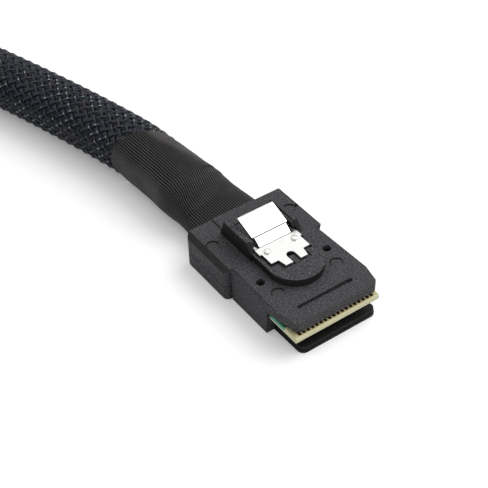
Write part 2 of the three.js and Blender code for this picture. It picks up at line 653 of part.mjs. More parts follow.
const contactOutline = outline([
  [contactRear, contactBottom], [contactRear + 1.4, contactBottom],
  [contactRear + contactLength * 0.7, contactBottom + 0.6], [contactRear + contactLength, contactBottom + 0.2],
  [contactRear + contactLength, contactBottom + 0.2 + contactThickness],
  [contactRear + contactLength * 0.7, contactBottom + 0.6 + contactThickness],
  [contactRear + 1.4, contactBottom + contactThickness], [contactRear, contactBottom + contactThickness],
]);
const contactsPerPlug = 7;
const leadPlaces = [[-1, true], [-1, false], [1, false], [1, true]];
leadPlaces.forEach(([side, upper], i) => {
  const number = i + 1;
  const points = leadRoute(side, upper);
  addPiece(`lead_${number}`, tube(points, leadDiameter, leadSides, leadSteps), leadJacket);
  const plug = new THREE.Group();
  const [endX, endY] = points[points.length - 1];
  plug.position.set(endX, endY, 0);
  plug.rotation.z = Math.PI;
  cable.add(plug);
  addPiece(`plug_boot_${number}`, loft(bootStations, 20), plugPlastic, plug);
  addPiece(`plug_body_${number}`, plugBodySolid(), plugPlastic, plug);
  for (let k = 0; k < contactsPerPlug; k += 1) {
    const y = (k - (contactsPerPlug - 1) / 2) * contactPitch - slotKeyWidth / 2 + 0.3;
    addPiece(`plug_contact_${number}_${k + 1}`, across(contactOutline, y - contactWidth / 2,
      y + contactWidth / 2), gold, plug);
  }
});

export default cable;
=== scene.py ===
import math
import bpy
import bmesh
import numpy as np
from mathutils import Matrix, Vector


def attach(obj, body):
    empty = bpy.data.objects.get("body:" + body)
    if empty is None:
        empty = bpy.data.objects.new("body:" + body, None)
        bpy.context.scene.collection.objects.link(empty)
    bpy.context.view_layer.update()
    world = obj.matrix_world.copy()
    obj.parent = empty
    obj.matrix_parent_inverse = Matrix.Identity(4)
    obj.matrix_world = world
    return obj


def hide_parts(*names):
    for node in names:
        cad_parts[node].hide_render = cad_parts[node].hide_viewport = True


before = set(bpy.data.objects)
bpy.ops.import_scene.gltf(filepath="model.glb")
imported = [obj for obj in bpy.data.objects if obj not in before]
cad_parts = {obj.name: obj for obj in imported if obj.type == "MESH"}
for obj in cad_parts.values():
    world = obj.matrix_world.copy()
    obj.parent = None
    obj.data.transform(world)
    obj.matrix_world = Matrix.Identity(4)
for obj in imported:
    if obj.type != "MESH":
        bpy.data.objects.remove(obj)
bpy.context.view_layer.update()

# The picture: a long lens looks down at about forty degrees on the plug's front and left side,
# with the trunk running out of the left edge of the frame.
frame_pixels = 488
focal_pixels = 1120.03
sensor_width = 36
camera_place = Vector((0.102083, -0.075993, 0.124022))
camera_right = Vector((0.5770, 0.8163, -0.0254))
camera_up = Vector((-0.5372, 0.4028, 0.7411))
lens = bpy.data.cameras.new("photo_view")
lens.sensor_width = sensor_width
lens.lens = focal_pixels / frame_pixels * sensor_width
lens.clip_start = 0.005
camera = bpy.data.objects.new("photo_view", lens)
bpy.context.collection.objects.link(camera)
camera_back = camera_right.cross(camera_up).normalized()
camera_up = camera_back.cross(camera_right).normalized()
turn = Matrix((camera_right.normalized(), camera_up, camera_back)).transposed()
camera.matrix_world = Matrix.Translation(camera_place) @ turn.to_4x4()
bpy.context.scene.camera = camera
bpy.context.scene.view_settings.view_transform = "Standard"


# Trunk: four flat cables are gathered into a round bundle and drawn through an open braided sleeve.
# The bundle is dark film jacket, and it shows in the meshes between the yarns.
class Flow:
    """An output of a material's nodes that can stand in a sum."""

    def __init__(self, finish, socket):
        self.finish, self.socket = finish, socket

    def math(self, operation, first, second):
        return self.finish.node("ShaderNodeMath", {"operation": operation}, {0: first, 1: second})

    def __add__(self, other):
        return self.math("ADD", self, other)

    __radd__ = __add__

    def __sub__(self, other):
        return self.math("SUBTRACT", self, other)

    def __rsub__(self, other):
        return self.math("SUBTRACT", other, self)

    def __mul__(self, other):
        return self.math("MULTIPLY", self, other)

    __rmul__ = __mul__

    def __truediv__(self, other):
        return self.math("DIVIDE", self, other)

    def size(self):
        """The value without its sign."""
        return self.finish.node("ShaderNodeMath", {"operation": "ABSOLUTE"}, {0: self})

    def root(self):
        """The square root."""
        return self.finish.node("ShaderNodeMath", {"operation": "SQRT"}, {0: self})

    def step(self, low, high):
        """0 below low and 1 above high, with a smooth rise between them."""
        return self.finish.node(
            "ShaderNodeMapRange", {"interpolation_type": "SMOOTHSTEP"},
            {"Value": self, "From Min": low, "From Max": high})


class Finish:
    """A material, made node by node."""

    def __init__(self, name):
        self.material = bpy.data.materials.new(name)
        self.material.use_nodes = True
        self.tree = self.material.node_tree
        self.shader = self.tree.nodes["Principled BSDF"]

    def node(self, kind, settings=None, sockets=None, output=0):
        made = self.tree.nodes.new(kind)
        for key, value in (settings or {}).items():
            if key == "stops":
                ramp = made.color_ramp
                while len(ramp.elements) < len(value):
                    ramp.elements.new(0.5)
                for element, (place, colour) in zip(ramp.elements, value):
                    element.position = place
                    element.color = (*colour, 1)
            else:
                setattr(made, key, value)
        for key, value in (sockets or {}).items():
            self.feed(made.inputs[key], value)
        return Flow(self, made.outputs[output])

    def feed(self, socket, value):
        if isinstance(value, Flow):
            self.tree.links.new(value.socket, socket)
        elif isinstance(value, tuple) and len(value) == 3 and socket.type == "RGBA":
            socket.default_value = (*value, 1)
        else:
            socket.default_value = value

    def millimetres(self):
        """The place on the piece, in millimetres."""
        place = self.node("ShaderNodeTexCoord", output="Object")
        return self.node("ShaderNodeVectorMath", {"operation": "SCALE"}, {0: place, "Scale": 1000})

    def part(self, vector, axis):
        return self.node("ShaderNodeSeparateXYZ", None, {0: vector}, output=axis)

    def noise(self, vector, scale, detail=2, roughness=0.5):
        return self.node("ShaderNodeTexNoise", None, {
            "Vector": vector, "Scale": scale, "Detail": detail, "Roughness": roughness})

    def blend(self, factor, low, high):
        """A colour between low and high."""
        return self.node("ShaderNodeMix", {"data_type": "RGBA"}, {0: factor, 6: low, 7: high}, output=2)

    def bump(self, height, depth, strength=1):
        return self.node("ShaderNodeBump", None, {
            "Height": height, "Distance": depth, "Strength": strength})

    def wear(self, **sockets):
        """Feeds the shader's sockets, with a space in a socket's name written as _."""
        for key, value in sockets.items():
            self.feed(self.shader.inputs[key.replace("_", " ")], value)
        return self.material


def smooth_route(points, spacing):
    """A smooth line through the points, cut into even steps."""
    points = np.array(points, float)
    points = np.vstack([2 * points[0] - points[1], points, 2 * points[-1] - points[-2]])
    share = np.linspace(0, 1, 24, endpoint=False)[:, None]
    dense = []
    for a, b, c, d in zip(points, points[1:], points[2:], points[3:]):
        first, middle, last = (math.sqrt(np.linalg.norm(q - p)) for p, q in ((a, b), (b, c), (c, d)))
        leave = ((b - a) / first - (c - a) / (first + middle) + (c - b) / middle) * middle
        arrive = ((c - b) / middle - (d - b) / (middle + last) + (d - c) / last) * middle
        dense.append(b + leave * share + (3 * (c - b) - 2 * leave - arrive) * share ** 2
                     + (2 * (b - c) + leave + arrive) * share ** 3)
    dense = np.vstack(dense + [points[-2:-1]])
    reach = np.concatenate([[0], np.cumsum(np.linalg.norm(np.diff(dense, axis=0), axis=1))])
    count = max(2, round(reach[-1] / spacing) + 1)
    even = np.linspace(0, reach[-1], count)
    return np.stack([np.interp(even, reach, dense[:, k]) for k in range(3)], axis=1)


def side_of(line):
    """The level direction to the left of each point of a line."""
    ahead = np.gradient(line, axis=0)
    side = np.stack([-ahead[:, 1], ahead[:, 0], np.zeros(len(line))], axis=1)
    return side / np.linalg.norm(side, axis=1)[:, None]


def skin(name, rings, material, groove=None):
    """A mesh drawn over a row of rings of points, with its ends closed."""
    rings = np.array(rings)
    rows, around = rings.shape[:2]
    index = np.arange(rows * around).reshape(rows, around)
    ahead = np.roll(index, -1, axis=1)
    faces = np.stack([index[:-1], ahead[:-1], ahead[1:], index[1:]], axis=-1).reshape(-1, 4).tolist()
    faces += [index[0][::-1].tolist(), index[-1].tolist()]
    mesh = bpy.data.meshes.new(name)
    mesh.from_pydata(rings.reshape(-1, 3).tolist(), [], faces)
    mesh.polygons.foreach_set("use_smooth", [True] * len(mesh.polygons))
    mesh.materials.append(material)
    if groove is not None:
        shade = mesh.attributes.new("groove", "FLOAT", "POINT")
        shade.data.foreach_set("value", np.array(groove, float).reshape(-1))
    piece = bpy.data.objects.new(name, mesh)
    bpy.context.collection.objects.link(piece)
    shape = bmesh.new()
    shape.from_mesh(mesh)
    bmesh.ops.recalc_face_normals(shape, faces=shape.faces)
    shape.to_mesh(mesh)
    shape.free()
    return piece


mm = 0.001
trunk_diameter = 0.0112
trunk_height = trunk_diameter / 2 - 0.25 * mm
trunk_points = [
    (-0.0380, -0.00346), (-0.047, -0.0054), (-0.060, -0.0088), (-0.0733, -0.0127), (-0.086, -0.0166),
    (-0.099, -0.0206), (-0.1125, -0.0252), (-0.126, -0.0322), (-0.1385, -0.043), (-0.1486, -0.058),
    (-0.154, -0.075), (-0.1542, -0.092), (-0.150, -0.109), (-0.141, -0.1245), (-0.1275, -0.1376),
    (-0.111, -0.146), (-0.094, -0.1493), (-0.077, -0.1479), (-0.0688, -0.1456),
]
yarn_step = 0.55 * mm
trunk_line = smooth_route([(x, y, trunk_height) for x, y in trunk_points], yarn_step)
trunk_side = side_of(trunk_line)
upward = np.array([0.0, 0.0, 1.0])

bundle_film = Finish("bundle_film")
place = bundle_film.millimetres()
cloud = bundle_film.noise(place, 0.35, 3)
bundle_film.wear(
    Base_Color=bundle_film.blend(cloud, (0.004, 0.006, 0.012), (0.014, 0.022, 0.034)),
    Roughness=0.34 + 0.2 * cloud)
bundle_radius = 4.55 * mm
bundle_lobes = 8
bundle_depth = 0.15 * mm
bundle_rings = []
for centre, side in zip(trunk_line[::3], trunk_side[::3]):
    angle = np.linspace(0, 2 * math.pi, 48, endpoint=False)[:, None]
    radius = bundle_radius + bundle_depth * np.cos(bundle_lobes * angle)
    bundle_rings.append(centre + radius * (np.cos(angle) * side + np.sin(angle) * upward))
trunk_bundle = skin("trunk_bundle", bundle_rings, bundle_film.material)
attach(trunk_bundle, "root")
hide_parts("braided_trunk")


# Braided sleeve: flat yarns of two clear-coated filaments run round the trunk both ways and pass
# over and under each other at every crossing. It is woven open, so that it can be pushed up.
yarn_count = 18
mesh_length = 2.2 * mm
yarn_radius = 4.98 * mm
yarn_rise = 0.2 * mm
yarn_width = 0.52 * mm
filament_height = 0.15 * mm
# Each point of a yarn's section: place across, height, and how brightly the lamp catches it, which sets
# how strong the painted glint is there
yarn_section = ((-0.5, -0.2, 0), (-0.27, 1, 0.6), (0, 0.35, 1), (0.27, 1, 0.6), (0.5, -0.2, 0))
yarn_lead = 2 * math.pi / (yarn_count * mesh_length)
yarn_slope = math.atan(yarn_radius * yarn_lead)

yarn_gloss = Finish("yarn_gloss")
place = yarn_gloss.millimetres()
tone = yarn_gloss.noise(place, 0.5, 2)
grain = yarn_gloss.noise(place, 5, 2)
crown = yarn_gloss.node("ShaderNodeAttribute", {"attribute_name": "crown"}, output=2)
# Painted glints: near-white spots painted into the colour on the risen crowns of some crossings, standing
# in for the lamp's highlights
glint = crown.step(0.55, 0.9) * yarn_gloss.noise(place, 0.3, 1).step(0.54, 0.6)
thread = yarn_gloss.blend(tone.step(0.4, 0.62), (0.006, 0.013, 0.022), (0.020, 0.019, 0.027))
yarn_gloss.wear(
    Base_Color=yarn_gloss.blend(glint, thread, (0.50, 0.60, 0.64)),
    Roughness=0.34 + 0.18 * grain,
    Specular_IOR_Level=0.2,
    Coat_Weight=0.2)
yarn_gloss.shader.inputs["Coat Roughness"].default_value = 0.07
yarn_gloss.shader.inputs["Coat IOR"].default_value = 1.6


# The sleeve begins under the wrap, whose edge is cut at a slant: nearer the plug on the far side.
seam_along, seam_across = -35.6, -3.18
seam_lean = 3.3
seam_half_width = 5.26
tuck = 0.4
line_under_wrap = [(-0.0305, -0.0026, 0.0052), (-0.0340, -0.0030, 0.0053)]
sleeve_line = smooth_route(line_under_wrap + [(x, y, trunk_height) for x, y in trunk_points], yarn_step)
sleeve_side = side_of(sleeve_line)


def yarn_family(name, hand):
    """All the yarns that run round the trunk one way."""
    ahead = np.gradient(sleeve_line, axis=0)
    ahead /= np.linalg.norm(ahead, axis=1)[:, None]
    reach = np.arange(len(sleeve_line)) * np.linalg.norm(sleeve_line[1] - sleeve_line[0])
    swing = yarn_lead * reach
    points, faces, painted_glint_spots = [], [], []
    across = len(yarn_section)
    caught = np.array([bright for w, h, bright in yarn_section])
    made = 0
    for i in range(yarn_count):
        angle = hand * swing + 2 * math.pi * i / yarn_count
        outward = np.cos(angle)[:, None] * sleeve_side + np.sin(angle)[:, None] * upward
        round_way = -np.sin(angle)[:, None] * sleeve_side + np.cos(angle)[:, None] * upward
        broad = math.cos(yarn_slope) * round_way - hand * math.sin(yarn_slope) * ahead
        radius = yarn_radius + hand * yarn_rise * np.cos(yarn_count * swing)
        middle = sleeve_line + radius[:, None] * outward
        seam = seam_along + seam_lean * (middle[:, 1] / mm - seam_across) / seam_half_width + tuck
        first = int(np.argmax(middle[:, 0] / mm < seam))
        section = [(middle + w * yarn_width * broad + h * filament_height * outward)[first:]
                   for w, h, bright in yarn_section]
        rows = len(sleeve_line) - first
        index = np.arange(rows * across).reshape(rows, across) + made
        made += rows * across
        after = np.roll(index, -1, axis=1)
        faces.append(np.stack([index[:-1], after[:-1], after[1:], index[1:]], axis=-1).reshape(-1, 4))
        points.append(np.stack(section, axis=1).reshape(-1, 3))
        # How high each point stands at a crossing, which places the painted glints
        risen = np.clip(hand * np.cos(yarn_count * swing[first:]), 0, 1) ** 4
        painted_glint_spots.append((risen[:, None] * caught).reshape(-1))
    mesh = bpy.data.meshes.new(name)
    mesh.from_pydata(np.vstack(points).tolist(), [], np.vstack(faces).tolist())
    mesh.polygons.foreach_set("use_smooth", [True] * len(mesh.polygons))
    mesh.materials.append(yarn_gloss.material)
    mesh.attributes.new("crown", "FLOAT", "POINT").data.foreach_set("value", np.concatenate(painted_glint_spots))
    shape = bmesh.new()
    shape.from_mesh(mesh)
    bmesh.ops.holes_fill(shape, edges=[e for e in shape.edges if e.is_boundary], sides=across)
    bmesh.ops.recalc_face_normals(shape, faces=shape.faces)
    shape.to_mesh(mesh)
    shape.free()
    piece = bpy.data.objects.new(name, mesh)
    bpy.context.collection.objects.link(piece)
    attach(piece, "root")
    return piece


sleeve_left = yarn_family("sleeve_yarns_left", -1)
sleeve_right = yarn_family("sleeve_yarns_right", 1)


# Wrap: black ribbed cloth tape, pulled tight from the plug's mouth to the sleeve. Under it the flat
# cables step up from one flat layer into the round bundle, so the ribs swing over a shoulder.
def between(stations, share):
    """The station at a share of the way, smoothly between its neighbours."""
    stations = np.array(stations, float)
    place = share * (len(stations) - 1)
    k = min(int(place), len(stations) - 2)
    t = place - k
    before, after = stations[max(k - 1, 0)], stations[min(k + 2, len(stations) - 1)]
    leave, arrive = (stations[k + 1] - before) / 2, (after - stations[k]) / 2
    return (stations[k] + leave * t + (3 * (stations[k + 1] - stations[k]) - 2 * leave - arrive) * t * t
            + (2 * (stations[k] - stations[k + 1]) + leave + arrive) * t ** 3)


# Each station: place along, place across, height of the middle, half width, half height, fullness,
# and how far the far side is drawn towards the plug
wrap_stations = [
    (-13.35, -0.1, 2.75, 6.2, 2.1, 3.4, 0), (-14.3, -0.15, 2.75, 6.25, 2.35, 3.3, 0),
    (-15.8, -0.2, 2.75, 6.35, 2.5, 3.1, 0), (-17.6, -0.29, 2.8, 6.28, 2.5, 3.0, 0),
    (-19.2, -0.4, 2.8, 6.17, 2.6, 3.0, 0), (-20.4, -0.71, 3.2, 6.09, 3.1, 2.9, 0.2),
    (-21.6, -1.17, 4.0, 5.92, 3.95, 2.7, 0.4), (-23, -1.73, 4.6, 5.61, 4.55, 2.5, 0.6),
    (-25, -2.03, 4.75, 5.59, 4.7, 2.4, 1.0), (-28, -2.27, 4.9, 5.38, 4.85, 2.3, 1.7),
    (-31, -2.65, 5.1, 5.2, 5.05, 2.2, 2.5), (-33.5, -2.99, 5.3, 5.2, 5.2, 2.1, 3.0),
    (seam_along, seam_across, 5.4, seam_half_width, 5.3, 2.0, seam_lean),
]
rib_count = 70
points_per_rib = 6
rib_depth = 0.2
wrap_rows = 130
# The ribs crowd towards the top from here on, and the tape is smooth where it is pulled over the shoulder
crowding_start, crowding_end = -20.5, -23.7
crowding_mean, crowding_swing = 0.03, 0.02
smooth_start, smooth_end = -22, -25
back_edge_start, back_edge_fall = 0.75, 0.8
smooth_sink = 0.35


def rise(value, start, end):
    """0 at start and 1 at end, in a straight line."""
    return np.clip((value - start) / (end - start), 0, 1)


def ribbed_section(station, heading):
    """A full rounded section with even ribs, and how deep the groove is at each point, which also sets
    the painted shade of the grooves.

    The tape is pulled smooth over the back of the round part and low on its near side."""
    x, y, z, half_width, half_height, fullness, lean = station
    angle = np.linspace(-math.pi / 2, 1.5 * math.pi, 1441)
    power = 2 / fullness
    across = half_width * np.sign(np.cos(angle)) * np.abs(np.cos(angle)) ** power
    height = half_height * np.sign(np.sin(angle)) * np.abs(np.sin(angle)) ** power
    girth = np.concatenate([[0], np.cumsum(np.hypot(np.diff(across), np.diff(height)))])
    count = np.linspace(0, 1, rib_count * points_per_rib, endpoint=False)
    crowded = rise(x, crowding_start, crowding_end)
    crowded = crowded ** 2 * (3 - 2 * crowded)
    pulled = count - crowded * (crowding_mean + crowding_swing * np.sin(2 * math.pi * (count - 0.5)))
    even = (pulled % 1) * girth[-1]
    across, height = np.interp(even, girth, across), np.interp(even, girth, height)
    slope_across = np.roll(across, -1) - np.roll(across, 1)
    slope_height = np.roll(height, -1) - np.roll(height, 1)
    length = np.hypot(slope_across, slope_height)
    roundness = rise(x, smooth_start, smooth_end)
    back_edge = back_edge_start - back_edge_fall * rise(x, -23, -33)
    smooth_back = rise(across / half_width, back_edge, back_edge + 0.25) * rise(height, -0.5, 1.5)
    smooth_low = rise(across / half_width, -0.78, -0.98)
    ribbed = 1 - roundness * np.maximum(0.85 * smooth_back, 0.75 * smooth_low)
    groove = ribbed * np.abs(np.cos(rib_count * math.pi * count)) ** 0.9 + smooth_sink * (1 - ribbed)
    across = across - rib_depth * groove * slope_height / length
    height = height + rib_depth * groove * slope_across / length
    side = np.array([-heading[1], heading[0], 0])
    drawn = lean * across / half_width
    ring = np.array([x, y, z]) + across[:, None] * side + height[:, None] * upward
    ring += drawn[:, None] * np.array([*heading, 0])
    return ring * mm, groove


wrap_rings, wrap_grooves = [], []
wrap_middle = [between(wrap_stations, k / (wrap_rows - 1)) for k in range(wrap_rows)]
for k, station in enumerate(wrap_middle):
    back, ahead = wrap_middle[max(k - 1, 0)], wrap_middle[min(k + 1, wrap_rows - 1)]
    heading = (back[:2] - ahead[:2]) / np.linalg.norm(ahead[:2] - back[:2])
    ring, groove = ribbed_section(station, heading)
    wrap_rings.append(ring)
    wrap_grooves.append(groove)

tape = Finish("ribbed_tape")
place = tape.millimetres()
fuzz = tape.noise(place, 9, 3)
patch = tape.noise(place, 0.25, 2)
# The grooves between the ribs are painted near-black as painted shade, and the smooth stretches of tape
# take a part of it
depth = tape.node("ShaderNodeAttribute", {"attribute_name": "groove"}, output=2)
ridge = tape.blend(patch.step(0.35, 0.7), (0.085, 0.080, 0.078), (0.115, 0.110, 0.107))
tape.wear(
    Base_Color=tape.blend(depth.step(0.0, 0.85), ridge, (0.003, 0.003, 0.003)),
    Roughness=0.66 + 0.15 * fuzz,
    Specular_IOR_Level=0.25,
    Normal=tape.bump(fuzz, 0.02 * mm, 0.6))
wrap_tape = skin("wrap_tape", wrap_rings, tape.material, wrap_grooves)
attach(wrap_tape, "root")
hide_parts("ribbed_wrap")


# Collar: a length of black tube shrunk over the end of the sleeve, so that the four leads part here.
# Its ends are drawn in, and its front end is pulled in a little between the leads.
collar_length = 22.0
joint_gap = 0.3
collar_radius = 6.3
collar_heading = np.array([8.2, 2.3]) / math.hypot(8.2, 2.3)
trunk_end = np.array(trunk_points[-1]) * 1000
collar_profile = [
    (-1.2, 5.3), (-1.2, 5.75), (-0.6, 5.95), (0.6, 6.05), (2, 6.25), (6, 6.3), (11, 6.2), (15, 6.1),
    (19, 5.95), (21, 5.85), (21.8, 5.6), (22, 5.2), (21.9, 4.9), (20.8, 4.7),
]
shrunk_tube = Finish("shrunk_tube")
place = shrunk_tube.millimetres()
ripple = shrunk_tube.noise(place, 0.6, 3)
grain = shrunk_tube.noise(place, 12, 2)
shrunk_tube.wear(
    Base_Color=shrunk_tube.blend(ripple, (0.008, 0.008, 0.009), (0.018, 0.018, 0.019)),
    Roughness=0.4 + 0.18 * ripple,
    Normal=shrunk_tube.bump(ripple + 0.05 * grain, 0.12 * mm, 0.5))
collar_rings = []
for reach, radius in collar_profile:
    angle = np.linspace(0, 2 * math.pi, 64, endpoint=False)[:, None]
    pinch = 1 - 0.045 * max(0, reach - 12) / 10 * (0.5 + 0.5 * np.cos(4 * angle))
    middle = np.array([*(trunk_end + collar_heading * (joint_gap + reach)), collar_radius])
    side = np.array([-collar_heading[1], collar_heading[0], 0])
    collar_rings.append((middle + radius * pinch * (np.cos(angle) * side + np.sin(angle) * upward)) * mm)
collar = skin("shrunk_collar", collar_rings, shrunk_tube.material)
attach(collar, "root")
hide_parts("split_collar")


# Leads: round black cables with a satin jacket. They leave the collar two on two, run round as one
# bundle and fan out on the table to their plugs.
lead_diameter = 0.0038
plug_axis = 3.05
bundle_start = trunk_end + collar_heading * (collar_length + 2 * joint_gap)
# Each row: the bundle's place, then side offset and height of the lower and of the upper pair
bundle_rows = [
    (*bundle_start, 2.15, 4.15, 2.15, 8.45), (-39, -136.8, 2.15, 3.5, 2.15, 7.8),
    (-31.6, -132.2, 2.15, 2.3, 2.15, 6.6), (-25.6, -125.9, 2.15, 1.95, 2.15, 6.25),
    (-21.6, -118, 2.15, 1.95, 2.15, 6.25), (-20, -109.2, 2.15, 1.95, 2.15, 6.25),
    (-20.8, -100.2, 2.15, 1.95, 2.15, 6.25), (-24, -91.6, 2.15, 1.95, 2.3, 6.25),
    (-29.4, -84.2, 2.4, 1.95, 3.9, 6.1), (-36.6, -78.4, 3.2, 1.95, 7.6, 4.3),
    (-45.2, -74.2, 4.6, 1.95, 12.6, 2.2), (-54.6, -71.7, 6.1, 1.95, 17.6, 1.95),
    (-63.5, -70.9, 7.1, 2.5, 21, 2.5), (-68, -70.9, 7.2, plug_axis, 21.5, plug_axis),
    (-72, -70.9, 7.2, plug_axis, 21.6, plug_axis),
]


def lead_route(side, upper):
    route = []
    for i, (x, y, *pairs) in enumerate(bundle_rows):
        back, ahead = bundle_rows[max(i - 1, 0)], bundle_rows[min(i + 1, len(bundle_rows) - 1)]
        heading = math.atan2(ahead[1] - back[1], ahead[0] - back[0])
        offset, height = pairs[2:] if upper else pairs[:2]
        route.append(((x - side * offset * math.sin(heading)) * mm,
                      (y + side * offset * math.cos(heading)) * mm, height * mm))
    return route


jacket = Finish("lead_jacket")
place = jacket.millimetres()
haze = jacket.noise(place, 1.2, 3)
pores = jacket.noise(place, 14, 2)
jacket.wear(
    Base_Color=jacket.blend(haze, (0.010, 0.010, 0.013), (0.022, 0.022, 0.026)),
    Roughness=0.36 + 0.2 * haze,
    Normal=jacket.bump(pores, 0.012 * mm, 0.5))
lead_places = [(-1, True), (-1, False), (1, False), (1, True)]
lead_curves = []
for number, (side, upper) in enumerate(lead_places, 1):
    line = smooth_route(lead_route(side, upper), 1.6 * mm)
    curve = bpy.data.curves.new(f"round_lead_{number}", "CURVE")
    curve.dimensions = "3D"
    spline = curve.splines.new("POLY")
    spline.points.add(len(line) - 1)
    for point, place_on in zip(spline.points, line):
        point.co = (*place_on, 1)
    curve.bevel_depth = lead_diameter / 2
    curve.bevel_resolution = 6
    curve.use_fill_caps = True
    curve.materials.append(jacket.material)
    spline.use_smooth = True
    lead = bpy.data.objects.new(f"round_lead_{number}", curve)
    bpy.context.collection.objects.link(lead)
    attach(lead, "root")
    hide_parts(f"lead_{number}")
    lead_curves.append(lead)


# Drive plugs: a moulded black body with an L-shaped slot and a boot cast over its back and the lead.
# Every edge of the mouldings is slightly rounded.
def rounded_copy(node, name, width, segments=2, angle=30, body="root", shape_up=None):
    """A copy of a solid whose sharp edges are rounded, standing in its place."""
    bpy.ops.object.select_all(action="DESELECT")
    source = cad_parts[node]
    mesh = source.data.copy()
    mesh.materials.clear()
    piece = bpy.data.objects.new(name, mesh)
    bpy.context.collection.objects.link(piece)
    bpy.context.view_layer.objects.active = piece
    piece.select_set(True)
    bpy.ops.object.mode_set(mode="EDIT")
    bpy.ops.mesh.select_all(action="SELECT")
    bpy.ops.mesh.remove_doubles(threshold=0.001 * mm)
    bpy.ops.mesh.dissolve_limited(angle_limit=math.radians(0.5))
    bpy.ops.object.mode_set(mode="OBJECT")
    if shape_up:
        shape_up(piece.data)
    bevel = piece.modifiers.new("edges", "BEVEL")
    bevel.width = width
    bevel.segments = segments
    bevel.limit_method = "ANGLE"
    bevel.angle_limit = math.radians(angle)
    bevel.use_clamp_overlap = True
    bevel.miter_outer = "MITER_ARC"
    bpy.ops.object.modifier_apply(modifier=bevel.name)
    bpy.ops.object.shade_smooth_by_angle(angle=math.radians(35))
    even_faces = piece.modifiers.new("even_faces", "WEIGHTED_NORMAL")
    even_faces.keep_sharp = True
    bpy.ops.object.modifier_apply(modifier=even_faces.name)
    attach(piece, body)
    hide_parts(node)
    return piece


plug_mould = Finish("plug_mould")
place = plug_mould.millimetres()
mist = plug_mould.noise(place, 0.8, 2)
spark = plug_mould.noise(place, 10, 2)
plug_mould.wear(
    Base_Color=plug_mould.blend(mist, (0.012, 0.012, 0.013), (0.020, 0.020, 0.022)),
    Roughness=0.42 + 0.2 * spark,
    Normal=plug_mould.bump(spark, 0.02 * mm, 0.5))
plated = Finish("gold_plate")
place = plated.millimetres()
tint = plated.noise(place, 2, 2)
plated.wear(Base_Color=plated.blend(tint, (0.70, 0.48, 0.16), (0.85, 0.64, 0.28)), Metallic=1.0,
            Roughness=0.22 + 0.15 * tint)
for number, lead in enumerate(lead_curves, 1):
    body = rounded_copy(f"plug_body_{number}", f"plug_shell_{number}", 0.15 * mm)
    boot = rounded_copy(f"plug_boot_{number}", f"cast_boot_{number}", 0.08 * mm, angle=50)
    for piece in (body, boot):
        piece.data.materials.append(plug_mould.material)
    contacts = [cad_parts[f"plug_contact_{number}_{k}"] for k in range(1, 8)]
    for contact in contacts:
        contact.material_slots[0].material = plated.material
    side, upper = lead_places[number - 1]
    lead_route(side, upper)[0]


# Housing: a glass-filled black moulding with a fine spark-eroded texture on its top and sides.
# The top shell carries the boss and the rails, and the rear cover is pressed in from below.
rear_edge = 9.35 - 0.83
front_edge = 8.32 - 0.45
shoulder_back = -2.3
roof = 6.34
blade_back, blade_top = 6.9, 1.3
far_rear_edge_out, far_front_edge_out = 0.65, 0.35
upper_lip_far_out, upper_lip_near_out = 0.7, 0.2
lower_lip_far_out, lower_lip_near_in = 0.75, 0.1


def fit_lips(mesh):
    """The far side of the moulding is squarer than the near one, and its lips reach further out."""
    for vertex in mesh.vertices:
        x, y, z = (value / mm for value in vertex.co)
        on_roof = z > roof - 0.04
        on_upper_lip = z > 4.5 and x > 8.1
        on_lower_lip = z < blade_top and x > blade_back + 0.1
        if on_roof and abs(y - rear_edge) < 0.05 and x < shoulder_back:
            vertex.co.y += far_rear_edge_out * mm
        elif on_roof and abs(y - front_edge) < 0.05 and shoulder_back < x < 8:
            vertex.co.y += far_front_edge_out * mm
        elif on_upper_lip and y > 6:
            vertex.co.y += upper_lip_far_out * mm
        elif on_upper_lip and y < -6:
            vertex.co.y -= upper_lip_near_out * mm
        elif on_lower_lip and y > 5:
            vertex.co.y += lower_lip_far_out * mm
        elif on_lower_lip and y < -5:
            vertex.co.y += lower_lip_near_in * mm


shell_mould = Finish("shell_mould")
place = shell_mould.millimetres()
coarse = shell_mould.noise(place, 2.6, 3, 0.6)
fine = shell_mould.noise(place, 7, 2, 0.6)
fleck = shell_mould.noise(place, 5.5, 1).step(0.60, 0.70)
pit = shell_mould.noise(place, 4.1, 1).step(0.44, 0.36)
grey = shell_mould.blend(fleck, (0.038, 0.038, 0.042), (0.16, 0.16, 0.17))
speckled = shell_mould.blend(pit, grey, (0.010, 0.010, 0.011))
along, over, height = (shell_mould.part(place, axis) for axis in ("X", "Y", "Z"))
# The polished faces are painted near-black: painted shade on the steep sides and the near bevel, which
# face away from the lamp and mirror a dark room; their smoother, untextured finish is real
bare = shell_mould.node("ShaderNodeAttribute", {"attribute_name": "bare"}, output=2)
grained = shell_mould.blend(bare, speckled, (0.006, 0.006, 0.007))


mark_radius = 1.05
rear_marks, front_marks = (-8.45, 7.5), (6.15, 5.55)


def ejector_arc(mark_x, mark_y):
    """The shaded rear edge of a pair of round marks that the ejector pins left in the roof."""
    back, across = along - mark_x, over.size() - mark_y
    edge = ((back * back + across * across).root() - mark_radius).size().step(0.16, 0.05)
    return edge * back.step(0.4, -0.3) * height.step(roof - 0.24, roof - 0.19)


arcs = ejector_arc(*rear_marks) + ejector_arc(*front_marks)
grained = shell_mould.blend(arcs, grained, (0.002, 0.002, 0.002))
# The lower lip under the card is painted near-black: painted shade, as it lies in the card's shade
blade = along.step(blade_back, blade_back + 0.1) * height.step(blade_top, blade_top - 0.1)
shell_mould.wear(
    Base_Color=shell_mould.blend(blade, grained, (0.003, 0.003, 0.003)),
    Roughness=0.55 + 0.2 * coarse - 0.15 * bare,
    Specular_IOR_Level=0.3,
    Normal=shell_mould.bump((coarse + 0.6 * fine) * (1 - 0.8 * bare), 0.12 * mm, 1.0))


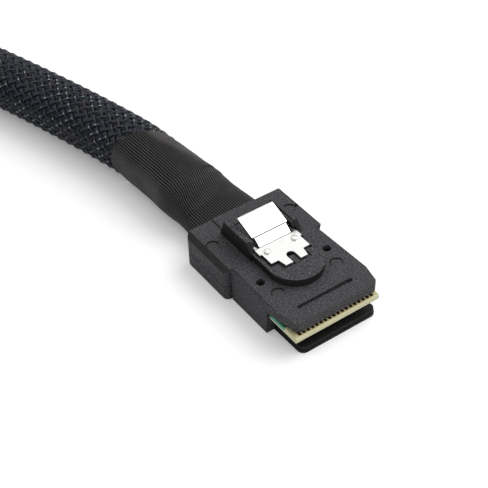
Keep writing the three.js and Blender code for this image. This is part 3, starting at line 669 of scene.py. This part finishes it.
def mark_polished_shaded_sides(piece):
    """Marks the polished faces, which have no spark texture and are painted near-black as painted shade:
    the steep faces above the roof and the bevel along the near side of the rear block."""
    shade = piece.data.attributes.new("bare", "FLOAT", "FACE")
    values = []
    for face in piece.data.polygons:
        x, y, z = face.center / mm
        steep = abs(face.normal.z) < 0.6 and z > roof
        leans_out = 0.5 < -face.normal.y < 0.85
        bevel = leans_out and z > roof - 1 and x < shoulder_back
        values.append(1.0 if steep or bevel else 0.0)
    shade.data.foreach_set("value", values)


top_shell = rounded_copy("main_shell", "top_shell", 0.12 * mm, shape_up=fit_lips)
bottom_cover = rounded_copy("rear_cover", "bottom_cover", 0.12 * mm)
for piece in (top_shell, bottom_cover):
    mark_polished_shaded_sides(piece)
    piece.data.materials.append(shell_mould.material)


# Card: green lacquer over woven glass laminate. The lacquer stops short of the edge that goes into
# the socket, and the fingers are plated there on both faces.
laminate = Finish("card_laminate")
place = laminate.millimetres()
along, over, height = (laminate.part(place, axis) for axis in ("X", "Y", "Z"))
weave = laminate.noise(place, 3, 2)
lacquer_end = 10.7
bare = along.step(lacquer_end, lacquer_end + 0.1)
card_low, card_high = 3.06, 4.06
face = (height - (card_low + card_high) / 2).size()
on_face = face.step(0.44, 0.49)
on_finger = face.step(0.505, 0.52)
board_colour = laminate.blend(weave, (0.46, 0.43, 0.22), (0.60, 0.55, 0.32))
edge_green = laminate.blend(height.step(3.25, 3.45), (0.62, 0.66, 0.52), (0.03, 0.26, 0.14))
edge_colour = laminate.blend(along.step(10.4, 11.0), edge_green, (0.60, 0.57, 0.36))
lacquer = laminate.blend(weave, (0.008, 0.125, 0.055), (0.014, 0.19, 0.09))
top_colour = laminate.blend(bare, lacquer, board_colour)
# The plated fingers are painted dark brown: painted shade and painted reflection, as they lie under the
# top lip and mirror its dark underside
shaded_finger_colour = (0.075, 0.028, 0.010)
card_colour = laminate.blend(on_face, edge_colour, top_colour)
card_colour = laminate.blend(on_finger, card_colour, shaded_finger_colour)
laminate.wear(Base_Color=card_colour, Roughness=0.42 - 0.15 * on_finger, Metallic=0.6 * on_finger)
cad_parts["paddle_card"].material_slots[0].material = laminate.material


# Latch: one strip of bright spring steel, stamped, with a bend at its foot and another below the thumb
# pad.
# Two half-sheared studs in its wings catch the socket. Dark lines along the bends, the pad's rear lip and
# round the studs are painted shade.
steel = Finish("spring_steel")
place = steel.millimetres()
stretched = steel.node("ShaderNodeMapping", None, {"Vector": place, "Scale": (0.6, 9, 3)})
brushed = steel.noise(stretched, 2, 3)
soft = steel.noise(place, 0.5, 2)
along, over = steel.part(place, "X"), steel.part(place, "Y")


def bend_shade_line(at, half_width):
    """1 on a line across the latch along a bend, where a painted shade line goes."""
    away = (along - at).size()
    return away.step(half_width, half_width * 0.3)


upper_bend, lower_bend, pad_lip = bend_shade_line(-3.5, 0.16), bend_shade_line(-2.1, 0.10), bend_shade_line(-7.35, 0.10)
stud_x, stud_y, stud_radius = -0.65, 2.6, 0.52
sideways = over.size() - stud_y
from_stud = ((along - stud_x) * (along - stud_x) + sideways * sideways).root()
# A painted shade ring round each stud
ring = (from_stud - stud_radius).size().step(0.15, 0.05)
painted_bend_shade = upper_bend * 0.97 + lower_bend * 0.9 + pad_lip * 0.85 + ring * 0.4
sheet = steel.blend(soft, (0.86, 0.86, 0.85), (0.94, 0.94, 0.93))
steel.wear(
    Base_Color=steel.blend(painted_bend_shade, sheet, (0.02, 0.02, 0.02)),
    Metallic=1.0,
    Roughness=0.26 + 0.1 * brushed,
    Normal=steel.bump(brushed, 0.01 * mm, 0.3))
latch = rounded_copy("latch_spring", "steel_latch", 0.05 * mm, body="latch")
latch.data.materials.append(steel.material)


# Inside the housing: a black comb clamps four flat cables behind the card. They show only through
# the mouth of the housing.
comb_mould = Finish("comb_mould")
place = comb_mould.millimetres()
comb_mould.wear(Base_Color=comb_mould.blend(comb_mould.noise(place, 3), (0.010, 0.010, 0.011),
                                            (0.020, 0.020, 0.021)), Roughness=0.6)
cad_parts["wire_comb"].material_slots[0].material = comb_mould.material
film = Finish("flat_cable_film")
place = film.millimetres()
film.wear(Base_Color=film.blend(film.noise(place, 2), (0.020, 0.035, 0.070), (0.035, 0.055, 0.10)),
          Roughness=0.35)
for level in ("upper", "lower"):
    for hand in ("left", "right"):
        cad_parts[f"flat_cable_{level}_{hand}"].material_slots[0].material = film.material


# Studio: a white table, a wide soft lamp high behind the right side, and a pale room all round.
# The table glows a little for the camera, so that it is as white as the photo's ground.
bpy.ops.mesh.primitive_plane_add(size=6, location=(0, 0, 0))
table_top = bpy.context.object
table_top.name = "table_top"
paper = Finish("table_paper")
seen = paper.node("ShaderNodeLightPath", output="Is Camera Ray")
paper.wear(Base_Color=(0.86, 0.86, 0.87), Roughness=0.9, Specular_IOR_Level=0.0,
           Emission_Color=(1.0, 1.0, 1.0), Emission_Strength=0.17 * seen)
table_top.data.materials.append(paper.material)

room = bpy.data.worlds.new("pale_room")
room.use_nodes = True
bpy.context.scene.world = room
sky = room.node_tree
# The room is brightest overhead and dim at eye level, so sides that face no white table stay dark.
# Steel sees a paler room than dull pieces do.
light_path = sky.nodes.new("ShaderNodeLightPath")
direction = sky.nodes.new("ShaderNodeTexCoord")
upness = sky.nodes.new("ShaderNodeSeparateXYZ")
sky.links.new(direction.outputs["Generated"], upness.inputs[0])


def room_level(bottom, top, low, high):
    """Light that rises from low to high between two heights of view."""
    level = sky.nodes.new("ShaderNodeMapRange")
    level.interpolation_type = "SMOOTHSTEP"
    sky.links.new(upness.outputs["Z"], level.inputs["Value"])
    level.inputs["From Min"].default_value = bottom
    level.inputs["From Max"].default_value = top
    level.inputs["To Min"].default_value = low
    level.inputs["To Max"].default_value = high
    return level.outputs[0]


def either(switch, off, on):
    """One of two levels, by kind of ray."""
    choice = sky.nodes.new("ShaderNodeMix")
    sky.links.new(switch, choice.inputs[0])
    for socket, level in ((choice.inputs[2], off), (choice.inputs[3], on)):
        if isinstance(level, float):
            socket.default_value = level
        else:
            sky.links.new(level, socket)
    return choice.outputs[0]


dull_light = room_level(0.05, 0.9, 0.12, 0.95)
steel_light = room_level(0.05, 0.45, 0.35, 1.0)
level = either(light_path.outputs["Is Diffuse Ray"], 1.0, dull_light)
level = either(light_path.outputs["Is Glossy Ray"], level, steel_light)
sky.nodes["Background"].inputs["Color"].default_value = (1, 1, 1, 1)
sky.links.new(level, sky.nodes["Background"].inputs["Strength"])

key_place = Vector((0.10, 0.55, 0.62))
key = bpy.data.lights.new("soft_key", "AREA")
key.shape = "DISK"
key.size = 0.9
key.energy = 4.8
key_lamp = bpy.data.objects.new("soft_key", key)
key_lamp.location = key_place
key_lamp.rotation_euler = (Vector((-0.02, -0.01, 0)) - key_place).to_track_quat("-Z", "Y").to_euler()
bpy.context.collection.objects.link(key_lamp)
